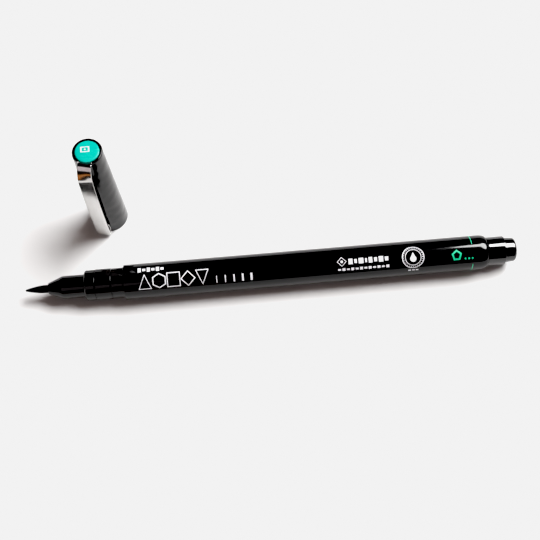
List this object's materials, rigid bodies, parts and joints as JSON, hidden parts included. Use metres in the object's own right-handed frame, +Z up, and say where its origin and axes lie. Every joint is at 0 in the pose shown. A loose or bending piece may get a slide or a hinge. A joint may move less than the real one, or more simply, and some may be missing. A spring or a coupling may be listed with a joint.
{
  "type": "brush pen",
  "caption": "Slim capped brush pen with a soft pointed nib, a stepped black barrel and a tapered cap with a spring steel clip, shown uncapped with the cap standing beside it.",
  "frame": {"origin": "middle of the pen and standing cap together, on the surface that they rest on", "axes": "+X along the pen from nib to tail, +Z up and along the standing cap's axis"},
  "size_m": [0.132, 0.032, 0.0362],
  "materials": {
    "black_plastic": "glossy moulded black",
    "white_plastic": "natural moulded",
    "teal_plastic": "satin moulded teal",
    "clip_steel": "bright fine-brushed stainless sheet",
    "nib_felt": "ink-soaked fine fibre",
    "ink_fibre": "ink-soaked fibre bundle",
    "wrap_film": "thin film"
  },
  "bodies": {
    "pen": {"barrel": "black_plastic", "front_section": "black_plastic", "nose_cone": "black_plastic", "nib_holder": "white_plastic", "ink_feeder": "nib_felt", "ink_reservoir": "ink_fibre", "reservoir_wrap": "wrap_film", "tail_plug": "black_plastic"},
    "nib": {"brush_nib": "nib_felt"},
    "cap": {"cap_body": "black_plastic", "inner_cap": "white_plastic", "top_plug": "teal_plastic", "clip_ring": "clip_steel"},
    "clip": {"pocket_clip": "clip_steel"}
  },
  "joints": [
    {"name": "nib_flex", "type": "hinge", "parent": "pen", "child": "nib", "pos_m": [-0.0586, -0.01133, 0.0047], "axis": [0, 1, 0], "range_deg": [-8, 8], "stiffness_Nm_per_rad": 0.01},
    {"name": "cap_lift", "type": "slide", "parent": "pen", "child": "cap", "axis": [0, 0, 1], "range_m": [0, 0.06]},
    {"name": "clip_flex", "type": "hinge", "parent": "cap", "child": "clip", "pos_m": [-0.0444, 0.00797, 0.03527], "axis": [-0.9703, 0.2419, 0], "range_deg": [0, 5], "stiffness_Nm_per_rad": 1.5}
  ]
}
